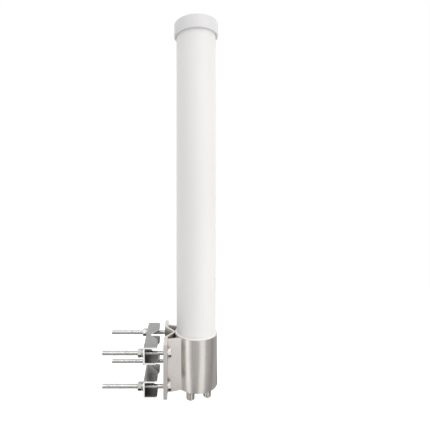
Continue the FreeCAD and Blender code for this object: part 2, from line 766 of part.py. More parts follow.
def make_elements(port_tail_top):
    half_flange = cell("socket_flange_width") / 2
    flange_top = cover_top + cell("socket_flange_thickness")
    boss_top = cover_top + cell("socket_boss_height")
    spine_low = flange_top + 0.5
    spine_high = radome_top - cell("spine_top_gap")

    socket = new_body("spine_socket_body")
    flange = sketch_on(socket, "XY_Plane", cover_top)
    outline(flange, [(-half_flange, -half_flange), (half_flange, -half_flange),
                     (half_flange, half_flange), (-half_flange, half_flange)])
    pad(socket, flange, cell("socket_flange_thickness"))
    boss = sketch_on(socket, "XY_Plane", cover_top)
    ring(boss, cell("socket_boss_radius"))
    pad(socket, boss, cell("socket_boss_height"))
    bore = sketch_on(socket, "XY_Plane", boss_top)
    ring(bore, cell("spine_radius") + cell("thread_clearance"))
    pocket(socket, bore, boss_top - flange_top)
    passage = sketch_on(socket, "XY_Plane", boss_top)
    ring(passage, cell("vent_radius"))
    pocket(socket, passage, cell("socket_boss_height"))
    taps = sketch_on(socket, "XY_Plane", flange_top)
    for quarter in range(4):
        angle = math.radians(45 + 90 * quarter)
        ring(taps, cell("cover_screw_radius") + cell("thread_clearance"),
             cell("socket_screw_circle") * math.cos(angle), cell("socket_screw_circle") * math.sin(angle))
    pocket(socket, taps, cell("socket_flange_thickness"))
    place(socket, axis_x, 0, 0, Rotation(Vector(0, 0, 1), PORT_ANGLES[0]))
    keep(socket, "spine_socket")

    spine = tube("spine", cell("spine_radius"), cell("spine_radius") - cell("spine_wall"),
                 spine_low, spine_high)
    keep(place(spine, axis_x), "spine_tube")

    dipole_span = cell("board_outer") - cell("board_inner") - cell("copper_margin") * 2
    board_height = cell("board_top") - cell("board_low")
    for number, angle in enumerate(PORT_ANGLES):
        facing = Rotation(Vector(0, 0, 1), angle)
        board = new_body("board%d" % number)
        face = sketch_on(board, "XY_Plane", cell("board_low"))
        half_board = cell("board_thickness") / 2
        outline(face, [(cell("board_inner"), -half_board), (cell("board_outer"), -half_board),
                       (cell("board_outer"), half_board), (cell("board_inner"), half_board)])
        pad(board, face, board_height)
        place(board, axis_x, 0, 0, facing)
        keep(board, "element_board_%d" % (number + 1))

        # The printed copper lies on one side: a feed line with a pair of arms at each dipole.
        half_line = cell("feed_line_width") / 2
        line_height = board_height - cell("feed_line_low_gap") - cell("feed_line_top_gap")
        copper = [solid_box("line%d" % number, cell("feed_line_width"), cell("copper_thickness"),
                            line_height, cell("feed_line_radius") - half_line, half_board,
                            cell("board_low") + cell("feed_line_low_gap"))]
        for step in range(DIPOLE_COUNT):
            level = cell("board_low") + cell("dipole_first") + cell("dipole_pitch") * step
            copper.append(solid_box("bridge%d_%d" % (number, step), dipole_span,
                                    cell("copper_thickness"), cell("dipole_bridge_height"),
                                    cell("board_inner") + cell("copper_margin"), half_board,
                                    level + cell("dipole_bridge_level")))
            for side in (0, 1):
                across = (cell("board_inner") + cell("copper_margin")
                          + side * (dipole_span - cell("dipole_width")))
                copper.append(solid_box("arm%d_%d_%d" % (number, step, side), cell("dipole_width"),
                                        cell("copper_thickness"), cell("dipole_length"),
                                        across, half_board, level))
        traces = fuse("copper%d" % number, copper)
        place(traces, axis_x, 0, 0, facing)
        keep(traces, "dipole_copper_%d" % (number + 1))

        make_cable("feed_cable_%d" % (number + 1), number, port_tail_top)

    for number, level in enumerate(SPACER_LEVELS):
        disc = new_body("spacer%d" % number)
        half = cell("spacer_thickness") / 2
        rim = sketch_on(disc, "XY_Plane", as_size(level) - half)
        ring(rim, cell("spacer_radius"))
        pad(disc, rim, cell("spacer_thickness"))
        centre = sketch_on(disc, "XY_Plane", as_size(level) + half)
        ring(centre, cell("spine_radius") + cell("thread_clearance"))
        pocket(disc, centre, cell("spacer_thickness"))
        for quarter in range(PORT_COUNT):
            slot = sketch_on(disc, "XY_Plane", as_size(level) + half)
            turned_slot = Rotation(Vector(0, 0, 1), 90 * quarter)
            slot.AttachmentOffset = FreeCAD.Placement(Vector(0, 0, 0), turned_slot)
            low = -(cell("board_thickness") / 2 + cell("spacer_slot"))
            high = cell("board_thickness") / 2 + cell("copper_thickness") + cell("spacer_slot")
            near = cell("board_inner") - cell("spacer_slot_end")
            far = cell("board_outer") + cell("spacer_slot_end")
            outline(slot, [(near, low), (far, low), (far, high), (near, high)])
            pocket(disc, slot, cell("spacer_thickness"))
        place(disc, axis_x, 0, 0, Rotation(Vector(0, 0, 1), PORT_ANGLES[0]))
        keep(disc, "board_spacer_%d" % (number + 1))


# ---------------------------------------------------------------- clamp
def make_bolts():
    bolts, washers = [], []
    for number, (side, level) in enumerate(BOLT_PLACES):
        head = hexagon("head%d" % number, cell("hex_across_flats"), cell("head_thickness"),
                       -cell("head_thickness"))
        shank = turned("shank%d" % number, [
            (0, -1),
            (cell("bolt_radius"), -1),
            (cell("bolt_radius"), cell("bolt_length") - cell("bolt_tip_chamfer")),
            (cell("bolt_radius") - cell("bolt_tip_chamfer"), cell("bolt_length")),
            (0, cell("bolt_length")),
        ])
        bolts.append(on_bolt(fuse("bolt%d" % number, [head, shank]), head_face, side, level))
        washers.append(on_bolt(tube("head_washer%d" % number, cell("washer_radius"),
                                    cell("washer_bore_radius"), 0, cell("washer_thickness")),
                               head_face, side, level))
    compound("clamp_bolts", bolts)
    compound("bolt_head_washers", washers)


def make_jaw(tier, level):
    """A pressed channel with its open side to the mast and a vee cut through both flanges."""
    body = new_body(tier + "_jaw_body")
    half_height = cell("jaw_height") / 2
    sheet_thick = cell("jaw_sheet")
    inside = jaw_back + sheet_thick
    profile = sketch_on(body, "XZ_Plane", -cell("jaw_length") / 2)
    outline(profile, [
        (jaw_front, half_height), (jaw_back, half_height),
        (jaw_back, -half_height), (jaw_front, -half_height),
        (jaw_front, -half_height + sheet_thick), (inside, -half_height + sheet_thick),
        (inside, half_height - sheet_thick), (jaw_front, half_height - sheet_thick),
    ])
    pad(body, profile, cell("jaw_length"))

    notch = sketch_on(body, "XY_Plane", half_height)
    mouth = (vee_tip - plate_front + 1) * vee_slope
    outline(notch, [(jaw_front + 1, -mouth), (-vee_tip, 0), (jaw_front + 1, mouth)])
    pocket(body, notch, cell("jaw_height"))

    holes = sketch_on(body, "YZ_Plane", inside)
    for side in (-1, 1):
        ring(holes, cell("bolt_hole_radius"), bolt_y * side)
    pocket(body, holes, sheet_thick)

    half_length = cell("jaw_length").value / 2

    def long_bend(across):
        def test(edge):
            box = edge.BoundBox
            return (box.YLength > 2 * half_length - 1 and abs(box.XMin - across) < 0.01
                    and box.XLength < 0.01)
        return test

    def front_corner(edge):
        box = edge.BoundBox
        return (box.ZLength < sheet_thick.value + 0.01 and box.ZLength > sheet_thick.value - 0.01
                and abs(abs(box.YMin) - half_length) < 0.01 and abs(box.XMin - jaw_front.value) < 0.01
                and box.XLength < 0.01)

    fillet(body, cell("jaw_bend_radius"), long_bend(jaw_back.value))
    fillet(body, cell("jaw_inner_bend_radius"), long_bend(inside.value))
    fillet(body, cell("jaw_corner_radius"), front_corner)
    place(body, 0, 0, bolt_z * level)
    keep(body, tier + "_jaw")


def spring_washer(name):
    """A split ring along Z."""
    whole = tube(name + "_ring", cell("spring_washer_radius"), cell("washer_bore_radius"),
                 0, cell("spring_washer_thickness"))
    gap = cell("spring_washer_gap")
    split = solid_box(name + "_split", cell("spring_washer_radius") + 1, gap,
                      cell("spring_washer_thickness") + 2, 0, -gap / 2, -1)
    return cut(name, whole, split)


def make_clamp_hardware():
    for tier, level in (("upper", 1), ("lower", -1)):
        make_jaw(tier, level)
        flat, sprung = [], []
        for side_name, side in (("front", -1), ("rear", 1)):
            label = "%s_%s" % (tier, side_name)
            washer = tube(label + "_washer", cell("washer_radius"), cell("washer_bore_radius"),
                          0, cell("washer_thickness"))
            flat.append(on_bolt(washer, jaw_back, side, level))
            spring_face = jaw_back - cell("washer_thickness")
            sprung.append(on_bolt(spring_washer(label + "_spring"), spring_face, side, level))
            nut_face = spring_face - cell("spring_washer_thickness")
            clamp_nut = nut(label + "_nut", cell("hex_across_flats"), cell("nut_thickness"),
                            cell("nut_bore_radius"))
            keep(on_bolt(clamp_nut, nut_face, side, level), "clamp_nut_" + label)
        compound(tier + "_flat_washers", flat)
        compound(tier + "_spring_washers", sprung)


def check_document():
    """Stops before anything is written if any object of the document failed."""
    doc.recompute()
    for item in doc.Objects:
        if "Invalid" in item.State or "Error" in item.State:
            raise RuntimeError("%s (%s) failed to recompute" % (item.Label, item.Name))
    for item in nodes:
        if item.Shape.isNull() or not item.Shape.isValid():
            raise RuntimeError("%s has no valid shape" % item.Label)


make_base()
make_radome()
make_cap()
make_bottom()
make_elements(make_ports())
make_bolts()
make_clamp_hardware()
check_document()
os.makedirs("parts", exist_ok=True)
for item in nodes:
    item.Shape.exportStep("parts/%s.step" % item.Label)
    print("%s: %d solid(s), %.2f cm3" % (item.Label, len(item.Shape.Solids), item.Shape.Volume / 1000))
print("%d nodes" % len(nodes))
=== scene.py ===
import json
import math

import bmesh
import bpy
from mathutils import Matrix, Vector
from mathutils.geometry import tessellate_polygon


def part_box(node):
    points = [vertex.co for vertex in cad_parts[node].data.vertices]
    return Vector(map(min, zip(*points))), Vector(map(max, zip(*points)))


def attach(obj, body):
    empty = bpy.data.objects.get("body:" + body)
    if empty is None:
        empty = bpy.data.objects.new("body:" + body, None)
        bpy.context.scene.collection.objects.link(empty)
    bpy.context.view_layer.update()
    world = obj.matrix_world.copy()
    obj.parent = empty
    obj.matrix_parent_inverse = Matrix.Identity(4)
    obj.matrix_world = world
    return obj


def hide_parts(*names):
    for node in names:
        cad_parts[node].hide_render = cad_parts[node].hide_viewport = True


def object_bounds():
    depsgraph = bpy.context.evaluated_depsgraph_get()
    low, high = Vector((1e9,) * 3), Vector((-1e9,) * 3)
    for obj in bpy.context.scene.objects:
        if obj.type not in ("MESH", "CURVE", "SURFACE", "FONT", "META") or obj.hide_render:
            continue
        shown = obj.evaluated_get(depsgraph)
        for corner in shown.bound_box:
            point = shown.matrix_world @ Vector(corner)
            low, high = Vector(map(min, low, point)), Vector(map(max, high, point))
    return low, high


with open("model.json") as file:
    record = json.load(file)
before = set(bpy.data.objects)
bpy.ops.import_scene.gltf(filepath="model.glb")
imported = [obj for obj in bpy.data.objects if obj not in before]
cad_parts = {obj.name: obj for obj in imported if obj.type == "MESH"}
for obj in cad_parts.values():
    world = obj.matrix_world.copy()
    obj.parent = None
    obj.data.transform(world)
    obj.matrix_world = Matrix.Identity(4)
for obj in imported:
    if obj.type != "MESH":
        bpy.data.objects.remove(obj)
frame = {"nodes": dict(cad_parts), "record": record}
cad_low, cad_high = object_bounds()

MM = 0.001
TAU = 2 * math.pi
ROUND_STEPS = 256        # sides of a large turned piece
SMALL_STEPS = 72         # sides of a small turned piece
SMOOTH_ANGLE = math.radians(32)
CRISP_ANGLE = math.radians(26)      # keeps the chamfers of small machined pieces sharp


# ---------------------------------------------------------------- node helpers
class Nodes:
    """A material's node tree with short ways to add and join nodes."""

    def __init__(self, name):
        self.material = bpy.data.materials.new(name)
        self.material.use_nodes = True
        self.tree = self.material.node_tree
        self.shader = self.tree.nodes["Principled BSDF"]
        self.place = self.add("ShaderNodeTexCoord").outputs["Object"]

    def add(self, kind, **values):
        node = self.tree.nodes.new(kind)
        for key, value in values.items():
            setattr(node, key, value)
        return node

    def join(self, source, target):
        self.tree.links.new(source, target)

    def stretched(self, scale, turn=(0, 0, 0)):
        """Object coordinates in metres, scaled along each axis."""
        node = self.add("ShaderNodeMapping")
        node.inputs["Scale"].default_value = scale
        node.inputs["Rotation"].default_value = turn
        self.join(self.place, node.inputs["Vector"])
        return node.outputs["Vector"]

    def noise(self, vector, detail, roughness=0.55):
        """Noise whose grain is set by the coordinates' own scale."""
        node = self.add("ShaderNodeTexNoise")
        node.inputs["Scale"].default_value = 1.0
        node.inputs["Detail"].default_value = detail
        node.inputs["Roughness"].default_value = roughness
        self.join(vector, node.inputs["Vector"])
        return node.outputs["Fac"]

    def spread(self, value, low, high, out_low, out_high):
        """Maps a value from one range to another, held at both ends."""
        node = self.add("ShaderNodeMapRange")
        node.inputs["From Min"].default_value = low
        node.inputs["From Max"].default_value = high
        node.inputs["To Min"].default_value = out_low
        node.inputs["To Max"].default_value = out_high
        self.join(value, node.inputs["Value"])
        return node.outputs["Result"]

    def maths(self, operation, left, right):
        node = self.add("ShaderNodeMath", operation=operation)
        for socket, value in zip(node.inputs, (left, right)):
            if isinstance(value, (int, float)):
                socket.default_value = value
            else:
                self.join(value, socket)
        return node.outputs[0]

    def blend(self, amount, low_colour, high_colour):
        node = self.add("ShaderNodeMix", data_type="RGBA")
        self.join(amount, node.inputs["Factor"])
        for socket, colour in ((node.inputs[6], low_colour), (node.inputs[7], high_colour)):
            if isinstance(colour, tuple):
                socket.default_value = (*colour, 1)
            else:
                self.join(colour, socket)
        return node.outputs[2]

    def shade_hollows(self, colour, distance, darkest, open_share=0.65):
        """A colour darkened by painted shade in hollows narrower than a distance in metres.

        The shade is left out where at least a given share of its surroundings is open.
        """
        # Painted shade: the occlusion darkens the colour towards a near-black shade colour where little light
        # gets in.
        node = self.add("ShaderNodeAmbientOcclusion", samples=6)
        node.inputs["Distance"].default_value = distance
        amount = self.spread(node.outputs["AO"], 0.15, open_share, 1, 0)
        return self.blend(amount, colour, darkest)

    def bump(self, parts):
        """Bump from several (height, distance in metres, strength) in a row."""
        normal = None
        for height, distance, strength in parts:
            node = self.add("ShaderNodeBump")
            node.inputs["Distance"].default_value = distance
            node.inputs["Strength"].default_value = strength
            self.join(height, node.inputs["Height"])
            if normal is not None:
                self.join(normal, node.inputs["Normal"])
            normal = node.outputs["Normal"]
        self.join(normal, self.shader.inputs["Normal"])

    def set(self, **values):
        for key, value in values.items():
            self.shader.inputs[key.replace("_", " ")].default_value = value

    def link(self, name, output):
        self.join(output, self.shader.inputs[name])


# ---------------------------------------------------------------- materials
def radome_material():
    """Satin white glass-fibre tube: faint pull marks along it, soft mottling and a fine orange peel."""
    n = Nodes("radome_white")
    pull = n.noise(n.stretched((420, 420, 3)), detail=3)
    cloud = n.noise(n.stretched((9, 9, 5)), detail=3)
    peel = n.noise(n.stretched((900, 900, 620)), detail=2)
    base = n.blend(n.spread(cloud, 0.3, 0.7, 0, 1), (0.815, 0.801, 0.782), (0.85, 0.838, 0.822))
    dust = n.spread(n.noise(n.stretched((60, 60, 22)), detail=6), 0.58, 0.8, 0, 0.22)
    n.link("Base Color", n.blend(dust, base, (0.74, 0.73, 0.705)))
    n.link("Roughness", n.spread(n.maths("ADD", pull, cloud), 0.7, 1.3, 0.46, 0.60))
    n.bump([(peel, 0.00006, 0.35), (pull, 0.00005, 0.30)])
    n.set(Specular_IOR_Level=0.5, Coat_Weight=0.12, Coat_Roughness=0.45)
    return n.material


def cap_material():
    """Moulded white plastic with a fine spark texture."""
    n = Nodes("cap_white")
    grain = n.noise(n.stretched((1500, 1500, 1500)), detail=2)
    cloud = n.noise(n.stretched((22, 22, 22)), detail=3)
    base = n.blend(n.spread(cloud, 0.3, 0.7, 0, 1), (0.762, 0.752, 0.757), (0.795, 0.785, 0.790))
    n.link("Base Color", base)
    n.link("Roughness", n.spread(grain, 0.3, 0.7, 0.40, 0.52))
    n.bump([(grain, 0.00005, 0.4)])
    n.set(Specular_IOR_Level=0.45)
    return n.material


def drawn_aluminium(name, tint, rough_low, rough_high, axis=2, dull_below=None):
    """Drawn and brushed aluminium: long fine lines along one axis, with faint staining and painted shade in
    its hollows.

    Where X is below `dull_below`, in metres, the metal keeps the duller skin it was extruded with.
    """
    n = Nodes(name)
    fine = [1600.0, 1600.0, 1600.0]
    fine[axis] = 9.0
    broad = [260.0, 260.0, 260.0]
    broad[axis] = 2.5
    lines = n.noise(n.stretched(tuple(fine)), detail=4, roughness=0.7)
    bands = n.noise(n.stretched(tuple(broad)), detail=3)
    stain = n.noise(n.stretched((38, 38, 20)), detail=5)
    dull = tuple(c * 0.90 for c in tint)
    base = n.blend(n.spread(lines, 0.35, 0.65, 0, 1), dull, tint)
    stained = n.blend(n.spread(stain, 0.5, 0.75, 0, 0.45), base, tuple(c * 0.86 for c in dull))
    # Painted shade: the colour goes towards near black in the hollows.
    n.link("Base Color", n.shade_hollows(stained, 0.02, (0.10, 0.095, 0.09)))
    rough = n.maths("ADD", n.maths("MULTIPLY", lines, 0.5), n.maths("MULTIPLY", bands, 0.5))
    polish = n.spread(rough, 0.35, 0.65, rough_low, rough_high)
    if dull_below is not None:
        split = n.add("ShaderNodeSeparateXYZ")
        n.join(n.place, split.inputs["Vector"])
        skin = n.spread(split.outputs["X"], dull_below, dull_below + 0.5 * MM, 0.17, 0)
        polish = n.maths("ADD", polish, skin)
    n.link("Roughness", polish)
    n.bump([(bands, 0.00003, 0.25), (lines, 0.00002, 0.35)])
    n.set(Metallic=1.0)
    return n.material


def worn_steel(name, tint, rough_low, rough_high, grain=1400.0):
    """Bright steel with a fine isotropic grain, small scratches and faint water marks."""
    n = Nodes(name)
    fine = n.noise(n.stretched((grain, grain, grain)), detail=3)
    marks = n.noise(n.stretched((140, 140, 140)), detail=5, roughness=0.65)
    scratch = n.noise(n.stretched((300, 2600, 700), (0.5, 0.3, 0.9)), detail=2)
    base = n.blend(n.spread(marks, 0.4, 0.7, 0, 1), tint, tuple(c * 0.82 for c in tint))
    n.link("Base Color", base)
    rough = n.maths("ADD", n.maths("MULTIPLY", fine, 0.4), n.maths("MULTIPLY", marks, 0.6))
    n.link("Roughness", n.spread(rough, 0.35, 0.65, rough_low, rough_high))
    n.bump([(fine, 0.00002, 0.30), (scratch, 0.00002, 0.25)])
    n.set(Metallic=1.0)
    return n.material


def jaw_material():
    """Satin pressed sheet with painted shade in its hollows; its sheared ends and vee cuts, which face along
    Y, carry a painted near-white highlight and are less metallic and rougher.
    """
    n = Nodes("pressed_jaw_steel")
    fine = n.noise(n.stretched((1400, 1400, 1400)), detail=3)
    marks = n.noise(n.stretched((140, 140, 140)), detail=5, roughness=0.65)
    rolled = n.noise(n.stretched((900, 40, 900)), detail=3)
    normal = n.add("ShaderNodeNewGeometry").outputs["True Normal"]
    turned = n.add("ShaderNodeVectorTransform", vector_type="NORMAL")
    turned.convert_from = "WORLD"
    turned.convert_to = "OBJECT"
    n.join(normal, turned.inputs["Vector"])
    split = n.add("ShaderNodeSeparateXYZ")
    n.join(turned.outputs["Vector"], split.inputs["Vector"])
    # Painted highlight: faces pointing along Y are picked out to be turned near white.
    highlit_ends = n.spread(n.maths("ABSOLUTE", split.outputs["Y"], 0.0), 0.30, 0.45, 0, 1)
    face = n.blend(n.spread(marks, 0.4, 0.7, 0, 1), (0.39, 0.387, 0.382), (0.33, 0.327, 0.322))
    # Painted shade: the channel's inside and other hollows darken towards near black.
    hollow_shaded_face = n.shade_hollows(face, 0.035, (0.05, 0.049, 0.047), 0.85)
    # Painted highlight: the picked faces take a near-white colour over the shaded face.
    n.link("Base Color", n.blend(highlit_ends, hollow_shaded_face, (0.96, 0.955, 0.94)))
    n.link("Metallic", n.spread(highlit_ends, 0, 1, 1.0, 0.25))
    rough = n.maths("ADD", n.maths("MULTIPLY", fine, 0.4), n.maths("MULTIPLY", marks, 0.6))
    satin = n.spread(rough, 0.35, 0.65, 0.30, 0.42)
    n.link("Roughness", n.maths("ADD", satin, n.maths("MULTIPLY", highlit_ends, 0.12)))
    n.bump([(fine, 0.00002, 0.30), (rolled, 0.00002, 0.25)])
    return n.material


def plain_detail(name, low_colour, high_colour, rough_low, rough_high,
                 grain=900.0, height=0.00005, **values):
    """A non-metal with fine grain and soft colour variation."""
    n = Nodes(name)
    fine = n.noise(n.stretched((grain, grain, grain)), detail=3)
    cloud = n.noise(n.stretched((90, 90, 90)), detail=4)
    n.link("Base Color", n.blend(n.spread(cloud, 0.3, 0.7, 0, 1), low_colour, high_colour))
    n.link("Roughness", n.spread(fine, 0.3, 0.7, rough_low, rough_high))
    n.bump([(fine, height, 0.4)])
    n.set(**values)
    return n.material


def board_material():
    """Green-brown glass-epoxy laminate with its weave."""
    n = Nodes("laminate")
    weave = n.add("ShaderNodeTexChecker")
    weave.inputs["Scale"].default_value = 1800
    n.join(n.place, weave.inputs["Vector"])
    cloud = n.noise(n.stretched((120, 120, 60)), detail=4)
    base = n.blend(n.spread(cloud, 0.3, 0.7, 0, 1), (0.20, 0.30, 0.13), (0.26, 0.36, 0.18))
    n.link("Base Color", n.blend(n.maths("MULTIPLY", weave.outputs["Fac"], 0.15), base, (0.36, 0.44, 0.26)))
    n.link("Roughness", n.spread(cloud, 0.3, 0.7, 0.35, 0.5))
    n.bump([(weave.outputs["Fac"], 0.00002, 0.3)])
    return n.material


MATERIALS = {
    "radome_tube": radome_material(),
    "top_cap": cap_material(),
    "brushed_aluminium": drawn_aluminium("brushed_aluminium", (0.806, 0.763, 0.728), 0.24, 0.34,
                                         dull_below=0.037),
    "plate_aluminium": drawn_aluminium("milled_aluminium", (0.74, 0.715, 0.695), 0.30, 0.42, axis=0),
    "inner_aluminium": drawn_aluminium("inner_aluminium", (0.75, 0.74, 0.73), 0.30, 0.42),
    "pressed_jaw": jaw_material(),
    "bolt_steel": worn_steel("bolt_steel", (0.76, 0.755, 0.745), 0.14, 0.24),
    "nut_steel": worn_steel("nut_steel", (0.58, 0.575, 0.56), 0.20, 0.32),
    "washer_steel": worn_steel("washer_steel", (0.72, 0.71, 0.70), 0.24, 0.36),
    "spring_steel": worn_steel("spring_steel", (0.55, 0.54, 0.53), 0.28, 0.40),
    "stainless_screws": worn_steel("screw_steel", (0.66, 0.65, 0.64), 0.22, 0.34),
    "nickel_plate": worn_steel("nickel_plate", (0.80, 0.77, 0.72), 0.14, 0.26, grain=2200.0),
    "gold_contact": worn_steel("gold_contact", (0.90, 0.68, 0.32), 0.15, 0.25, grain=2600.0),
    "copper": worn_steel("bare_copper", (0.80, 0.42, 0.26), 0.28, 0.42),
    "tinned_coax": worn_steel("tinned_braid", (0.66, 0.66, 0.64), 0.30, 0.45, grain=3000.0),
    "white_sealant": plain_detail("white_sealant", (0.86, 0.86, 0.84), (0.91, 0.91, 0.89), 0.35, 0.5),
    "black_rubber": plain_detail("black_rubber", (0.018, 0.018, 0.018), (0.035, 0.035, 0.035), 0.6, 0.8),
    "black_plastic": plain_detail("black_plastic", (0.028, 0.028, 0.03), (0.045, 0.045, 0.048), 0.45, 0.6),
    "white_insulator": plain_detail("white_insulator", (0.86, 0.86, 0.84), (0.92, 0.92, 0.90), 0.35, 0.45,
                                    Subsurface_Weight=0.1),
    "white_foam": plain_detail("white_foam", (0.84, 0.84, 0.82), (0.91, 0.91, 0.9), 0.75, 0.9,
                               grain=700.0, height=0.0002),
    "circuit_board": board_material(),
}
BODIES = frame["record"]["behaviour"]["bodies"]
BODY_OF = {node: body for body, members in BODIES.items() for node in members}
SLOT_OF = {part["node"]: part["material_slot"] for part in frame["record"]["subparts"]}


# ---------------------------------------------------------------- mesh helpers
def arc(centre, radius, start, end, steps):
    """Points on an arc between two angles in radians, both ends included."""
    return [(centre[0] + radius * math.cos(start + (end - start) * step / steps),
             centre[1] + radius * math.sin(start + (end - start) * step / steps))
            for step in range(steps + 1)]


def rounded(corners, radii, steps=4, closed=True):
    """The outline through the corners, each turned into an arc of one radius or of its own."""
    points = []
    count = len(corners)
    for index, corner in enumerate(corners):
        radius = radii[index] if isinstance(radii, (list, tuple)) else radii
        if radius <= 0 or (not closed and index in (0, count - 1)):
            points.append(corner)
            continue
        here = Vector(corner)
        back = Vector(corners[index - 1]) - here
        ahead = Vector(corners[(index + 1) % count]) - here
        half = back.angle(ahead) / 2
        reach = min(radius / math.tan(half), back.length * 0.49, ahead.length * 0.49)
        true_radius = reach * math.tan(half)
        inward = (back.normalized() + ahead.normalized()).normalized()
        centre = here + inward * (true_radius / math.sin(half))
        start = here + back.normalized() * reach - centre
        end = here + ahead.normalized() * reach - centre
        sweep = start.angle_signed(end)
        for step in range(steps + 1):
            turned = start.copy()
            turned.rotate(Matrix.Rotation(-sweep * step / steps, 2))
            points.append(tuple(centre + turned))
    return points


def solid_mesh(name, vertices, faces):
    """A mesh whose faces all look outwards."""
    mesh = bpy.data.meshes.new(name)
    mesh.from_pydata([tuple(v) for v in vertices], [], faces)
    work = bmesh.new()
    work.from_mesh(mesh)
    bmesh.ops.recalc_face_normals(work, faces=work.faces)
    work.to_mesh(mesh)
    work.free()
    return mesh


def piece(name, vertices, faces, node, angle=SMOOTH_ANGLE, matrix=None):
    """A mesh object that stands for a CAD node, with its body, slot and material."""
    mesh = solid_mesh(name, vertices, faces)
    if matrix is not None:
        mesh.transform(matrix)
    shade(mesh, angle)
    item = bpy.data.objects.new(name, mesh)
    bpy.context.scene.collection.objects.link(item)
    slot = SLOT_OF[node]
    mesh.materials.append(MATERIALS[slot])
    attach(item, BODY_OF[node])
    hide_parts(node)
    return item


def shade(mesh, angle=SMOOTH_ANGLE):
    """Smooth faces, with the edges sharper than an angle left hard."""
    for face in mesh.polygons:
        face.use_smooth = True
    mesh.set_sharp_from_angle(angle=angle)


def lathe_data(profile, steps, closed):
    """Vertices and faces of a profile of (radius, height) turned about Z.

    A closed profile joins its last point to its first. An open one starts and ends on the axis.
    """
    vertices, faces, rings = [], [], []
    for radius, height in profile:
        if radius < 1e-9:
            rings.append([len(vertices)])
            vertices.append((0, 0, height))
            continue
        rings.append(list(range(len(vertices), len(vertices) + steps)))
        for step in range(steps):
            angle = TAU * step / steps
            vertices.append((radius * math.cos(angle), radius * math.sin(angle), height))
    pairs = list(zip(rings, rings[1:]))
    if closed:
        pairs.append((rings[-1], rings[0]))
    for low, high in pairs:
        for step in range(steps):
            following = (step + 1) % steps
            if len(low) == 1 and len(high) == 1:
                break
            if len(low) == 1:
                faces.append((low[0], high[following], high[step]))
            elif len(high) == 1:
                faces.append((low[step], low[following], high[0]))
            else:
                faces.append((low[step], low[following], high[following], high[step]))
    return vertices, faces


def merged(parts):
    """Several (vertices, faces) as one."""
    vertices, faces = [], []
    for more_vertices, more_faces in parts:
        offset = len(vertices)
        vertices += [tuple(v) for v in more_vertices]
        faces += [tuple(index + offset for index in face) for face in more_faces]
    return vertices, faces


def moved(data, matrix):
    """The same (vertices, faces) with each vertex moved by a matrix."""
    return [tuple(matrix @ Vector(v)) for v in data[0]], data[1]


def prism_data(loops, low, high, bevel=0.0):
    """A solid along Z from an outer loop and its holes, with rounded top and bottom edges."""
    bevel_steps = 2
    vertices, faces, cap_loops = [], [], []
    for number, loop in enumerate(loops):
        area = sum(a[0] * b[1] - b[0] * a[1] for a, b in zip(loop, loop[1:] + loop[:1]))
        if (area < 0) != (number > 0):
            loop = loop[::-1]
        count = len(loop)
        inward = []
        for index, here in enumerate(loop):
            before, after = Vector(loop[index - 1]), Vector(loop[(index + 1) % count])
            first = (Vector(here) - before).normalized()
            second = (after - Vector(here)).normalized()
            normal = Vector((-first.y - second.y, first.x + second.x))
            normal = normal / max(normal.length_squared / 2, 0.4)
            inward.append(normal)
        levels = []
        for step in range(bevel_steps + 1):
            turn = math.pi / 2 * step / bevel_steps
            levels.append((bevel * (1 - math.sin(turn)), low + bevel * (1 - math.cos(turn))))
        levels += [(inset, low + high - height) for inset, height in reversed(levels)]
        if bevel == 0:
            levels = [(0, low), (0, high)]
        rings = []
        for inset, height in levels:
            rings.append(list(range(len(vertices), len(vertices) + count)))
            for here, normal in zip(loop, inward):
                vertices.append((here[0] + normal.x * inset, here[1] + normal.y * inset, height))
        for lower, upper in zip(rings, rings[1:]):
            for step in range(count):
                following = (step + 1) % count
                faces.append((lower[step], lower[following], upper[following], upper[step]))
        cap_loops.append((rings[0], rings[-1]))
    for end in (0, 1):
        order = [index for pair in cap_loops for index in pair[end]]
        flat = [[Vector(vertices[index]) for index in pair[end]] for pair in cap_loops]
        for triangle in tessellate_polygon(flat):
            corners = [order[index] for index in triangle]
            faces.append(tuple(corners if end else corners[::-1]))
    return vertices, faces


def thread_data(crest, root, pitch, low, high, lead, steps=32, core=None):
    """A right-hand screw thread along +Z with both ends chamfered to the radius `lead`.

    Rows of points follow the helix. Past an end they close the end face in a spiral,
    down to a pole, or down to the radius `core`, where the two ends are joined through the middle.
    """
    phases = ((0.0, root), (0.25, root), (0.56, crest), (0.69, crest))
    floor = core if core is not None else pitch * 0.5
    extra = int((lead - floor) / pitch) + 3
    turns = int((high - low) / pitch) + 1
    vertices, faces = [], []
    row_of = {}
    first, last = -extra, turns + extra

    def spot(run, radius, angle):
        if run < low:
            radius = max(min(radius, lead) - (low - run), floor)
            height = low
        elif run > high:
            radius = max(min(radius, lead) - (run - high), floor)
            height = high
        else:
            radius = min(radius, lead + (run - low), lead + (high - run))
            height = run
        return (radius * math.cos(angle), radius * math.sin(angle), height)

    for turn in range(first, last):
        for number, (phase, radius) in enumerate(phases):
            row_of[turn, number] = len(vertices)
            for step in range(steps):
                run = low + (turn + phase + step / steps) * pitch
                vertices.append(spot(run, radius, TAU * step / steps))

    def corner(turn, number, step):
        """The point at a row and step, where one whole turn leads on to the same row one pitch up."""
        if number == len(phases):
            turn, number = turn + 1, 0
        if step == steps:
            turn, step = turn + 1, 0
        return row_of[turn, number] + step if (turn, number) in row_of else None

    for turn in range(first, last):
        for number in range(len(phases)):
            for step in range(steps):
                ring = (corner(turn, number, step), corner(turn, number, step + 1),
                        corner(turn, number + 1, step + 1), corner(turn, number + 1, step))
                if None not in ring:
                    faces.append(ring)
    return vertices, faces


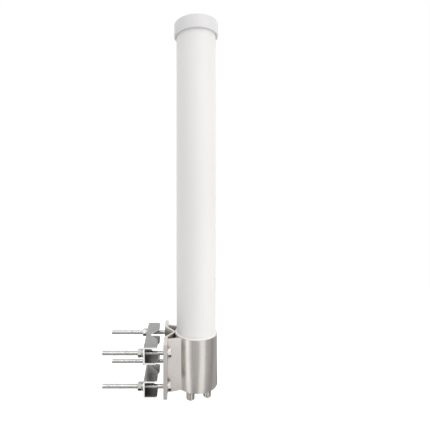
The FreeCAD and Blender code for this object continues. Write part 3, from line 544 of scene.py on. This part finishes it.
def closed_thread(crest, root, pitch, low, high, lead, steps=32, core=None):
    """The thread with its two open ends filled, or joined to each other round a bore."""
    vertices, faces = thread_data(crest, root, pitch, low, high, lead, steps, core)
    solid = bmesh.new()
    points = [solid.verts.new(v) for v in vertices]
    for face in faces:
        solid.faces.new([points[index] for index in face])
    bmesh.ops.remove_doubles(solid, verts=solid.verts, dist=1e-7)
    bmesh.ops.dissolve_degenerate(solid, edges=solid.edges, dist=1e-7)
    edges = [edge for edge in solid.edges if edge.is_boundary]
    if core is None:
        bmesh.ops.holes_fill(solid, edges=edges, sides=0)
    else:
        bmesh.ops.bridge_loops(solid, edges=edges)
    bmesh.ops.recalc_face_normals(solid, faces=solid.faces)
    loose = [vert for vert in solid.verts if not vert.link_faces]
    bmesh.ops.delete(solid, geom=loose, context="VERTS")
    solid.verts.index_update()
    result = ([tuple(v.co) for v in solid.verts], [tuple(v.index for v in f.verts) for f in solid.faces])
    solid.free()
    return result


def hexagon_data(across_flats, low, high, bore=0.0, chamfer_high=True):
    """A hexagonal nut or head along Z with the 30 degree turned chamfer that real ones have."""
    corner = across_flats / math.sqrt(3)
    corners = [(corner * math.cos(TAU * (side + 0.5) / 6), corner * math.sin(TAU * (side + 0.5) / 6))
               for side in range(6)]
    ring = []
    outline = rounded(corners, 0.35 * MM, 3)
    for here, ahead in zip(outline, outline[1:] + outline[:1]):
        across = ahead[0] - here[0]
        along = ahead[1] - here[1]
        cuts = 12 if math.hypot(across, along) > across_flats * 0.3 else 1
        ring += [(here[0] + across * cut / cuts, here[1] + along * cut / cuts) for cut in range(cuts)]
    circle = across_flats * 0.475       # radius where the turned chamfer starts
    slope = math.tan(math.radians(30))
    count = len(ring)

    def drop(point):
        return max(math.hypot(*point) - circle, 0) * slope

    def inner(point, radius):
        size = math.hypot(*point)
        return (point[0] / size * radius, point[1] / size * radius)

    mouth = bore + 0.35 * MM            # radius of the countersinks at the bore's ends
    sink = 0.4 * MM                     # and their depth
    levels = []
    if bore:
        levels.append([(*inner(p, bore), low + sink) for p in ring])
        levels.append([(*inner(p, mouth), low) for p in ring])
    levels.append([(*inner(p, circle), low) for p in ring])
    levels.append([(*p, low + drop(p)) for p in ring])
    levels.append([(*p, high - drop(p) if chamfer_high else high) for p in ring])
    levels.append([(*inner(p, circle), high) for p in ring])
    if bore:
        levels.append([(*inner(p, mouth), high) for p in ring])
        levels.append([(*inner(p, bore), high - sink) for p in ring])
    vertices = [point for level in levels for point in level]
    faces = []
    layers = len(levels)
    for layer in range(layers if bore else layers - 1):
        for step in range(count):
            following = (step + 1) % count
            base, over = layer * count, (layer + 1) % layers * count
            faces.append((base + step, base + following, over + following, over + step))
    if not bore:
        faces.append(tuple(reversed(range(count))))
        faces.append(tuple(range((layers - 1) * count, layers * count)))
    return vertices, faces


def difference(item, cutters, bevel=0.0, angle=SMOOTH_ANGLE):
    """Cuts closed cutter meshes out of a piece and leaves the result as its plain mesh."""
    for vertices, faces in cutters:
        mesh = solid_mesh("cutter", vertices, faces)
        tool = bpy.data.objects.new("cutter", mesh)
        bpy.context.scene.collection.objects.link(tool)
        modifier = item.modifiers.new("cut", "BOOLEAN")
        modifier.operation = "DIFFERENCE"
        modifier.solver = "EXACT"
        modifier.object = tool
        apply_modifiers(item)
        bpy.data.objects.remove(tool)
        bpy.data.meshes.remove(mesh)
    if bevel:
        modifier = item.modifiers.new("edge", "BEVEL")
        modifier.width = bevel
        modifier.segments = 2
        modifier.limit_method = "ANGLE"
        modifier.angle_limit = math.radians(38)
        modifier.use_clamp_overlap = True
        apply_modifiers(item)
    shade(item.data, angle)


def apply_modifiers(item):
    graph = bpy.context.evaluated_depsgraph_get()
    mesh = bpy.data.meshes.new_from_object(item.evaluated_get(graph))
    item.modifiers.clear()
    old = item.data
    item.data = mesh
    bpy.data.meshes.remove(old)


def middle(node):
    low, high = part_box(node)
    return (low + high) / 2


def upright(node):
    """Moves what is turned about the Z axis to a CAD node's own axis."""
    centre = middle(node)
    return Matrix.Translation((centre.x, centre.y, 0))


def on_bolt(x, y, z):
    """Turns what stands along +Z to point along -X, as the bolts do, and moves it to a place."""
    return Matrix.Translation((x, y, z)) @ Matrix.Rotation(math.radians(-90), 4, "Y")


# ---------------------------------------------------------------- sizes
MAST_RADIUS = 19 * MM                       # the mast gripped at rest stands on the Z axis
VEE_HALF_ANGLE = math.radians(54.5)         # from the X axis to a vee's faces, on base and jaws
VEE_TIP = MAST_RADIUS / math.sin(VEE_HALF_ANGLE)
VEE_SLOPE = math.tan(VEE_HALF_ANGLE)
RADOME_RADIUS = (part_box("radome_tube")[1].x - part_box("radome_tube")[0].x) / 2
RADOME_BORE = RADOME_RADIUS + 0.3 * MM      # of the base and the cap round the radome
PLATE_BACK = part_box("bolt_head_washers")[0].x       # the washers under the heads lie against it
BOLT_Y = middle("clamp_nut_upper_rear").y
BOLT_Z = middle("clamp_nut_upper_rear").z
BOLT_SPOTS = [(BOLT_Y * side, BOLT_Z * level) for level in (1, -1) for side in (-1, 1)]
BOLT_HOLE = 4.5 * MM                        # radius, in the plate and in the jaws
THREAD_CREST = 4.0 * MM                     # outer and inner radius of the bolts' M8 thread
THREAD_ROOT = 3.36 * MM
THREAD_PITCH = 1.25 * MM
NUT_BORE = 3.7 * MM                         # radius, less than the crest's, so the bolt fills the nut
HEX_FLATS = 13 * MM                         # across a head or nut, from flat to flat
WASHER_OUTER = 8 * MM                       # radii of the flat washers and the spring washers
WASHER_BORE = 4.3 * MM
SPRING_OUTER = 7.2 * MM


# ---------------------------------------------------------------- the antenna's pieces
def make_radome():
    """The tube, and the bead of sealant round its foot."""
    low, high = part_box("radome_tube")
    inner = RADOME_RADIUS - 3 * MM
    corners = [(inner, low.z), (RADOME_RADIUS, low.z), (RADOME_RADIUS, high.z), (inner, high.z)]
    data = lathe_data(rounded(corners, 0.3 * MM, 2), ROUND_STEPS, True)
    piece("radome_tube_skin", *data, "radome_tube", matrix=upright("radome_tube"))

    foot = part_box("radome_sealant_bead")[0].z
    section = ((0.02, 0), (1.62, 0), (1.5, 0.45), (1.0, 0.95), (0.45, 1.4), (0.02, 1.6))
    bead = [(RADOME_RADIUS + across * MM, foot + rise * MM) for across, rise in section]
    piece("sealant_bead", *lathe_data(bead, ROUND_STEPS, True), "radome_sealant_bead",
          angle=math.radians(60), matrix=upright("radome_tube"))


def make_cap():
    low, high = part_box("top_cap")
    outer = (high.x - low.x) / 2
    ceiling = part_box("radome_tube")[1].z + 0.5 * MM
    corners = [(RADOME_BORE, low.z), (outer, low.z), (outer, high.z), (0, high.z),
               (0, ceiling), (RADOME_BORE, ceiling)]
    shell = rounded(corners, [0.5 * MM, 0.7 * MM, 2 * MM, 0, 0, 0.8 * MM], 8)
    piece("top_cap_shell", *lathe_data(shell, ROUND_STEPS, True), "top_cap", matrix=upright("top_cap"))


def base_outline():
    """The extrusion's outer loop and its three hollows' loops, seen from above.

    The tube stands on a plate with a vee. A slanting web on each side and the vee's two back walls,
    which run on to the tube, join them.
    """
    low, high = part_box("base_extrusion")
    tube = middle("radome_tube")
    radius = high.x - tube.x
    front = low.x
    half_width = high.y
    wall = 4.5 * MM
    web_angle = math.radians(17.5)
    web_slope = math.tan(web_angle)
    web_foot = 36.7 * MM                # from the middle to the web's outside, where it leaves the plate
    web_inside = web_foot - wall / math.cos(web_angle)

    def on_tube(level, rise):
        """Where the line Y = level - rise * (X - PLATE_BACK) meets the tube's outside, on the mast's side."""
        reach = tube.x - PLATE_BACK
        a = 1 + rise * rise
        b = -2 * (reach + level * rise)
        c = reach * reach + level * level - radius * radius
        across = (-b - math.sqrt(b * b - 4 * a * c)) / (2 * a)
        return (PLATE_BACK + across, level - rise * across)

    def angle_of(point):
        return math.atan2(point[1], point[0] - tube.x)

    outer_join = on_tube(web_foot, web_slope)
    inner_join = on_tube(web_inside, web_slope)
    vee_level = (VEE_TIP - PLATE_BACK) * VEE_SLOPE + wall / math.cos(VEE_HALF_ANGLE)
    vee_join = on_tube(vee_level, VEE_SLOPE)

    start = angle_of(outer_join)
    around = arc((tube.x, tube.y), radius, start, -start, 200)
    skipped = 4                         # points of the tube's arc that each web's fillet takes up
    mouth = (VEE_TIP - front) * VEE_SLOPE
    corners = [(front, mouth), (front, half_width), (PLATE_BACK, half_width), (PLATE_BACK, web_foot),
               outer_join, around[skipped]]
    upper = rounded(corners, [0, 1 * MM, 1 * MM, 0.25 * MM, 1.2 * MM, 0], 5, closed=False)[:-1]
    lower = [(x, -y) for x, y in reversed(upper)]
    vee = rounded([(front, -mouth), (VEE_TIP, 0), (front, mouth)], [0, 0.6 * MM, 0], 4, closed=False)[1:-1]
    outer = upper + around[skipped:-skipped] + lower + vee

    hollow_arc = arc((tube.x, tube.y), radius, angle_of(inner_join), angle_of(vee_join), 24)
    corners = [hollow_arc[-1], (PLATE_BACK, vee_level), (PLATE_BACK, web_inside), inner_join]
    hollow = rounded(corners, [0, 1 * MM, 1 * MM, 0], 4, closed=False) + hollow_arc[1:-1]
    mirrored = [(x, -y) for x, y in hollow]
    bore = arc((tube.x, tube.y), RADOME_BORE, 0, TAU, 240)[:-1]
    return [outer, hollow, mirrored, bore]


def make_base():
    """The extrusion with its four bolt holes, countersunk a little at both ends."""
    low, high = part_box("base_extrusion")
    crease = math.radians(24)
    data = prism_data(base_outline(), low.z, high.z, 0.4 * MM)
    base = piece("base_extrusion_body", *data, "base_extrusion", angle=crease)
    rim = 0.5 * MM
    deep = PLATE_BACK - low.x
    hole = [(0, -2 * rim), (BOLT_HOLE + 2 * rim, -2 * rim), (BOLT_HOLE + rim, 0), (BOLT_HOLE, rim),
            (BOLT_HOLE, deep - rim), (BOLT_HOLE + rim, deep), (BOLT_HOLE + 2 * rim, deep + 2 * rim),
            (0, deep + 2 * rim)]
    cutter = lathe_data(hole, 48, False)
    difference(base, [moved(cutter, on_bolt(PLATE_BACK, y, z)) for y, z in BOLT_SPOTS], angle=crease)


def make_bolts():
    """Hexagon heads on shanks that are threaded all the way."""
    low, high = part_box("clamp_bolts")
    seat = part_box("bolt_head_washers")[1].x
    for number, (y, z) in enumerate(BOLT_SPOTS, 1):
        head = hexagon_data(HEX_FLATS, seat - high.x, 0, chamfer_high=False)
        shank = closed_thread(THREAD_CREST, THREAD_ROOT, THREAD_PITCH, -1 * MM, seat - low.x, 3 * MM)
        piece("clamp_bolt_%d" % number, *merged([head, shank]), "clamp_bolts", angle=CRISP_ANGLE,
              matrix=on_bolt(seat, y, z))


def make_nuts():
    for place, (y, z) in zip(("upper_front", "upper_rear", "lower_front", "lower_rear"), BOLT_SPOTS):
        node = "clamp_nut_" + place
        low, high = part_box(node)
        data = hexagon_data(HEX_FLATS, 0, high.x - low.x, bore=NUT_BORE)
        piece(node + "_body", *data, node, angle=CRISP_ANGLE, matrix=on_bolt(high.x, y, z))


def flat_washers(name, node, spots):
    low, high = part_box(node)
    thick = high.x - low.x
    corners = [(WASHER_BORE, 0), (WASHER_OUTER, 0), (WASHER_OUTER, thick), (WASHER_BORE, thick)]
    data = lathe_data(rounded(corners, 0.3 * MM, 3), SMALL_STEPS, True)
    piece(name, *merged([moved(data, on_bolt(high.x, y, z)) for y, z in spots]), node)


def spring_washers(name, node, spots):
    """Split rings of rounded rectangular wire, their two ends cut on a slant."""
    low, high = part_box(node)
    thick = high.x - low.x
    corners = [(WASHER_BORE, 0), (SPRING_OUTER, 0), (SPRING_OUTER, thick), (WASHER_BORE, thick)]
    section = rounded(corners, 0.35 * MM, 3)
    count = len(section)
    gap = math.radians(14)
    lean = math.radians(9)
    vertices, faces = [], []
    for step in range(SMALL_STEPS + 1):
        for radius, height in section:
            angle = gap / 2 + (TAU - gap) * step / SMALL_STEPS + lean * (height / thick - 0.5)
            vertices.append((radius * math.cos(angle), radius * math.sin(angle), height))
    for step in range(SMALL_STEPS):
        for index in range(count):
            following = (index + 1) % count
            faces.append((step * count + index, step * count + following,
                          (step + 1) * count + following, (step + 1) * count + index))
    faces.append(tuple(range(count)))
    faces.append(tuple(range(SMALL_STEPS * count, (SMALL_STEPS + 1) * count)))
    data = (vertices, faces)
    piece(name, *merged([moved(data, on_bolt(high.x, y, z)) for y, z in spots]), node)


def make_washers():
    flat_washers("bolt_head_washer_set", "bolt_head_washers", BOLT_SPOTS)
    for tier, spots in (("upper", BOLT_SPOTS[:2]), ("lower", BOLT_SPOTS[2:])):
        flat_washers(tier + "_flat_washer_pair", tier + "_flat_washers", spots)
        spring_washers(tier + "_spring_washer_pair", tier + "_spring_washers", spots)


def make_jaw(tier):
    """A pressed channel: C section along Y, then the vee through both flanges and the two bolt holes."""
    node = tier + "_jaw"
    low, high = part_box(node)
    centre_z = (high.z + low.z) / 2
    half = (high.z - low.z) / 2
    thick = 2.5 * MM
    bend = 3 * MM
    inner_bend = 1 * MM
    corners = [(high.x, half), (low.x, half), (low.x, -half), (high.x, -half),
               (high.x, -half + thick), (low.x + thick, -half + thick),
               (low.x + thick, half - thick), (high.x, half - thick)]
    section = rounded(corners, [0, bend, bend, 0, 0, inner_bend, inner_bend, 0], 6)
    data = prism_data([section], low.y, high.y)
    matrix = Matrix.Translation((0, 0, centre_z)) @ Matrix.Rotation(math.radians(90), 4, "X")
    jaw = piece(node + "_channel", *data, node, matrix=matrix)

    reach = 2 * MM                      # how far the cutters stand out of the channel
    mouth = (VEE_TIP + high.x) * VEE_SLOPE
    wide = mouth + 2 * reach
    corners = [(high.x + reach, wide), (high.x, mouth), (-VEE_TIP, 0), (high.x, -mouth),
               (high.x + reach, -wide)]
    vee = rounded(corners, [0, 3 * MM, 1.2 * MM, 3 * MM, 0], 6, closed=False)
    vee += [(high.x + 3 * reach, -wide), (high.x + 3 * reach, wide)]
    cutters = [prism_data([vee], low.z - reach, high.z + reach)]

    radius = 5 * MM                     # of the flanges' outer corners
    spare = 1 * MM
    hole = lathe_data([(0, -spare), (BOLT_HOLE, -spare), (BOLT_HOLE, thick + 2 * spare),
                       (0, thick + 2 * spare)], 48, False)
    for side in (-1, 1):
        edge = high.y * side
        centre = (high.x - radius, edge - radius * side)
        corner = [(high.x + reach, edge + reach * side), (high.x + reach, centre[1])]
        corner += arc(centre, radius, 0, math.pi / 2 * side, 8)
        corner += [(centre[0], edge + reach * side)]
        cutters.append(prism_data([corner], low.z - reach, high.z + reach))
        cutters.append(moved(hole, on_bolt(low.x + thick + spare, BOLT_Y * side, centre_z)))
    difference(jaw, cutters, 0.3 * MM)


def make_ports():
    """Type N connectors: a threaded barrel below the base, a flange on its seal, and a tail."""
    seal_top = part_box("rf_panel_seals")[1].z
    flange_top = seal_top + 3 * MM
    crest = 7.94 * MM
    root = 7.25 * MM
    pitch = 1.058 * MM
    core = 6.5 * MM                     # where the thread's ends close, inside the barrel
    barrel = 6.9 * MM
    neck = 7.2 * MM
    flange = 9.2 * MM
    tail = 5 * MM
    bore = 4.25 * MM
    mouth = 5.6 * MM
    for number in range(1, 5):
        node = "rf_connector_%d" % number
        low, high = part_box(node)
        bottom = low.z
        thread_top = bottom + 14 * MM
        shell = rounded([
            (mouth, bottom), (barrel, bottom), (barrel, thread_top), (neck, thread_top),
            (neck, seal_top), (flange, seal_top), (flange, flange_top), (tail, flange_top),
            (tail, high.z), (bore, high.z), (bore, bottom + 5 * MM), (5 * MM, bottom + 4.4 * MM),
        ], [0.25 * MM, 0.5 * MM, 0, 0.3 * MM, 0, 0.3 * MM, 0.3 * MM, 0.5 * MM, 0.2 * MM, 0, 0, 0.3 * MM], 3)
        thread = closed_thread(crest, root, pitch, bottom + 0.9 * MM, thread_top - 0.2 * MM, neck, 64, core)
        data = merged([lathe_data(shell, 96, True), thread])
        piece(node + "_shell", *data, node, angle=CRISP_ANGLE, matrix=upright(node))


make_radome()
make_cap()
make_base()
make_bolts()
make_nuts()
make_washers()
make_jaw("upper")
make_jaw("lower")
make_ports()

# The pieces whose CAD shape is already right get their finish.
for name, item in frame["nodes"].items():
    item.data.materials.clear()
    item.data.materials.append(MATERIALS[SLOT_OF[name]])


# ---------------------------------------------------------------- stage, light and camera
def make_stage():
    """A pale paper floor that fades out round the object, and a white sky that only the camera sees."""
    floor_level = cad_low.z - 230 * MM
    mesh = bpy.data.meshes.new("floor")
    size = 3.0
    mesh.from_pydata([(-size, -size, floor_level), (size, -size, floor_level),
                      (size, size, floor_level), (-size, size, floor_level)], [], [(0, 1, 2, 3)])
    floor = bpy.data.objects.new("floor", mesh)
    bpy.context.scene.collection.objects.link(floor)
    n = Nodes("floor_paper")
    grain = n.noise(n.stretched((300, 300, 300)), detail=3)
    paper = n.blend(n.spread(grain, 0.3, 0.7, 0, 1), (0.93, 0.93, 0.93), (0.95, 0.95, 0.95))
    n.link("Base Color", paper)
    n.set(Roughness=0.9, Specular_IOR_Level=0.1, Emission_Color=(1, 1, 1, 1), Emission_Strength=0.3)
    reach = n.add("ShaderNodeVectorMath", operation="LENGTH")
    n.join(n.stretched((1, 1, 0)), reach.inputs[0])
    n.link("Alpha", n.spread(reach.outputs["Value"], 0.9, 2.4, 1, 0))
    mesh.materials.append(n.material)
    floor.visible_glossy = False
    floor.visible_diffuse = False
    floor.visible_shadow = False

    mesh = bpy.data.meshes.new("backdrop")
    shell = bmesh.new()
    bmesh.ops.create_icosphere(shell, subdivisions=4, radius=12)
    shell.to_mesh(mesh)
    shell.free()
    sky = bpy.data.objects.new("backdrop", mesh)
    bpy.context.scene.collection.objects.link(sky)
    white = bpy.data.materials.new("backdrop_white")
    white.use_nodes = True
    white.node_tree.nodes.clear()
    glow = white.node_tree.nodes.new("ShaderNodeEmission")
    glow.inputs["Strength"].default_value = 1.0
    output = white.node_tree.nodes.new("ShaderNodeOutputMaterial")
    white.node_tree.links.new(glow.outputs[0], output.inputs["Surface"])
    mesh.materials.append(white)
    sky.visible_diffuse = False
    sky.visible_glossy = False
    sky.visible_transmission = False
    sky.visible_shadow = False


def soft_box(name, place, target, width, height, power):
    """A lamp that is a glowing rectangle aimed at a target, unseen by the camera."""
    light = bpy.data.lights.new(name, "AREA")
    light.shape = "RECTANGLE"
    light.size = width
    light.size_y = height
    light.energy = power
    item = bpy.data.objects.new(name, light)
    bpy.context.scene.collection.objects.link(item)
    item.location = place
    item.rotation_euler = (Vector(target) - Vector(place)).to_track_quat("-Z", "Y").to_euler()
    item.visible_camera = False
    return item


def make_world():
    """What the metal reflects and what fills the shadows.

    It is grey in front, brighter above and behind the object, and dark straight down and low behind,
    where the undersides of the bolts and nuts look.
    """
    world = bpy.data.worlds.new("studio")
    bpy.context.scene.world = world
    world.use_nodes = True
    tree = world.node_tree
    coordinate = tree.nodes.new("ShaderNodeTexCoord").outputs["Generated"]

    def toward(direction):
        """How far a ray points along a direction, from -1 to 1."""
        node = tree.nodes.new("ShaderNodeVectorMath")
        node.operation = "DOT_PRODUCT"
        node.inputs[1].default_value = direction
        tree.links.new(coordinate, node.inputs[0])
        return node.outputs["Value"]

    def ramp(value, stops):
        """Grey levels at values from -1 to 1."""
        shift = tree.nodes.new("ShaderNodeMath")
        shift.operation = "MULTIPLY_ADD"
        shift.inputs[1].default_value = 0.5
        shift.inputs[2].default_value = 0.5
        tree.links.new(value, shift.inputs[0])
        node = tree.nodes.new("ShaderNodeValToRGB")
        tree.links.new(shift.outputs[0], node.inputs["Fac"])
        for place, level in stops:
            stop = node.color_ramp.elements.new((place + 1) / 2)
            stop.color = (level, level, level, 1)
        node.color_ramp.elements.remove(node.color_ramp.elements[0])
        node.color_ramp.elements.remove(node.color_ramp.elements[-1])
        return node.outputs["Color"]

    sky = ramp(toward((-0.3, 0.95, 0)), ((-0.95, 0.48), (-0.60, 0.44), (-0.25, 0.25), (0.02, 0.46),
                                         (0.40, 0.42), (0.52, 0.75), (0.75, 1.0)))
    up = toward((0, 0, 1))
    ceiling = ramp(up, ((0.10, 0.0), (0.45, 1.0)))
    ground = ramp(up, ((-0.95, 1.0), (-0.85, 0.0)))
    low_behind = ramp(toward((0, 0.8, -0.6)), ((0.85, 0.0), (0.92, 1.0)))
    for amount, level in ((ceiling, 0.95), (ground, 0.04), (low_behind, 0.04)):
        node = tree.nodes.new("ShaderNodeMix")
        node.data_type = "RGBA"
        tree.links.new(amount, node.inputs["Factor"])
        tree.links.new(sky, node.inputs[6])
        node.inputs[7].default_value = (level, level, level, 1)
        sky = node.outputs[2]
    background = tree.nodes["Background"]
    tree.links.new(sky, background.inputs["Color"])
    background.inputs["Strength"].default_value = 1.0


def make_light():
    """Three soft boxes that show in the metal, and three fills that light only what is matte.

    The soft box overhead does the opposite of a fill: it only shows in what shines.
    """
    tube_x = middle("radome_tube").x
    soft_box("left_softbox", (-1.12, -1.08, -0.3), (tube_x, 0, 0.1), 0.60, 4.0, 7.2)
    soft_box("right_softbox", (0.88, -1.42, -0.3), (tube_x, 0, 0.1), 0.80, 4.0, 6.3)
    card = soft_box("ceiling_softbox", (0.0, -1.15, 1.6), (0, 0, 0), 3.2, 0.9, 18.0)
    card.visible_diffuse = False
    fills = (soft_box("high_fill", (0.25, -0.9, 1.9), (tube_x, 0, 0.4), 1.3, 1.0, 0.8),
             soft_box("right_fill", (1.7, -0.6, 0.1), (tube_x, 0, 0.2), 1.2, 2.0, 13.5),
             soft_box("ground_fill", (0.1, 0.0, -1.3), (0.1, 0.0, 0.0), 3.0, 3.0, 16.0))
    for fill in fills:
        fill.visible_glossy = False


def make_camera():
    """About level with the radome's middle, 0.64 m from the mast, and shifted to frame the antenna."""
    data = bpy.data.cameras.new("camera")
    camera = bpy.data.objects.new("camera", data)
    bpy.context.scene.collection.objects.link(camera)
    data.sensor_width = 36
    data.lens = 27.54
    data.shift_x = 0.0884
    data.shift_y = -0.0488
    data.clip_start, data.clip_end = 0.01, 50
    camera.location = (0.0299, -0.641, 0.3180)
    camera.rotation_euler = (math.radians(90), 0, 0)
    bpy.context.scene.camera = camera


make_stage()
make_world()
make_light()
make_camera()
bpy.context.scene.view_settings.view_transform = "Standard"
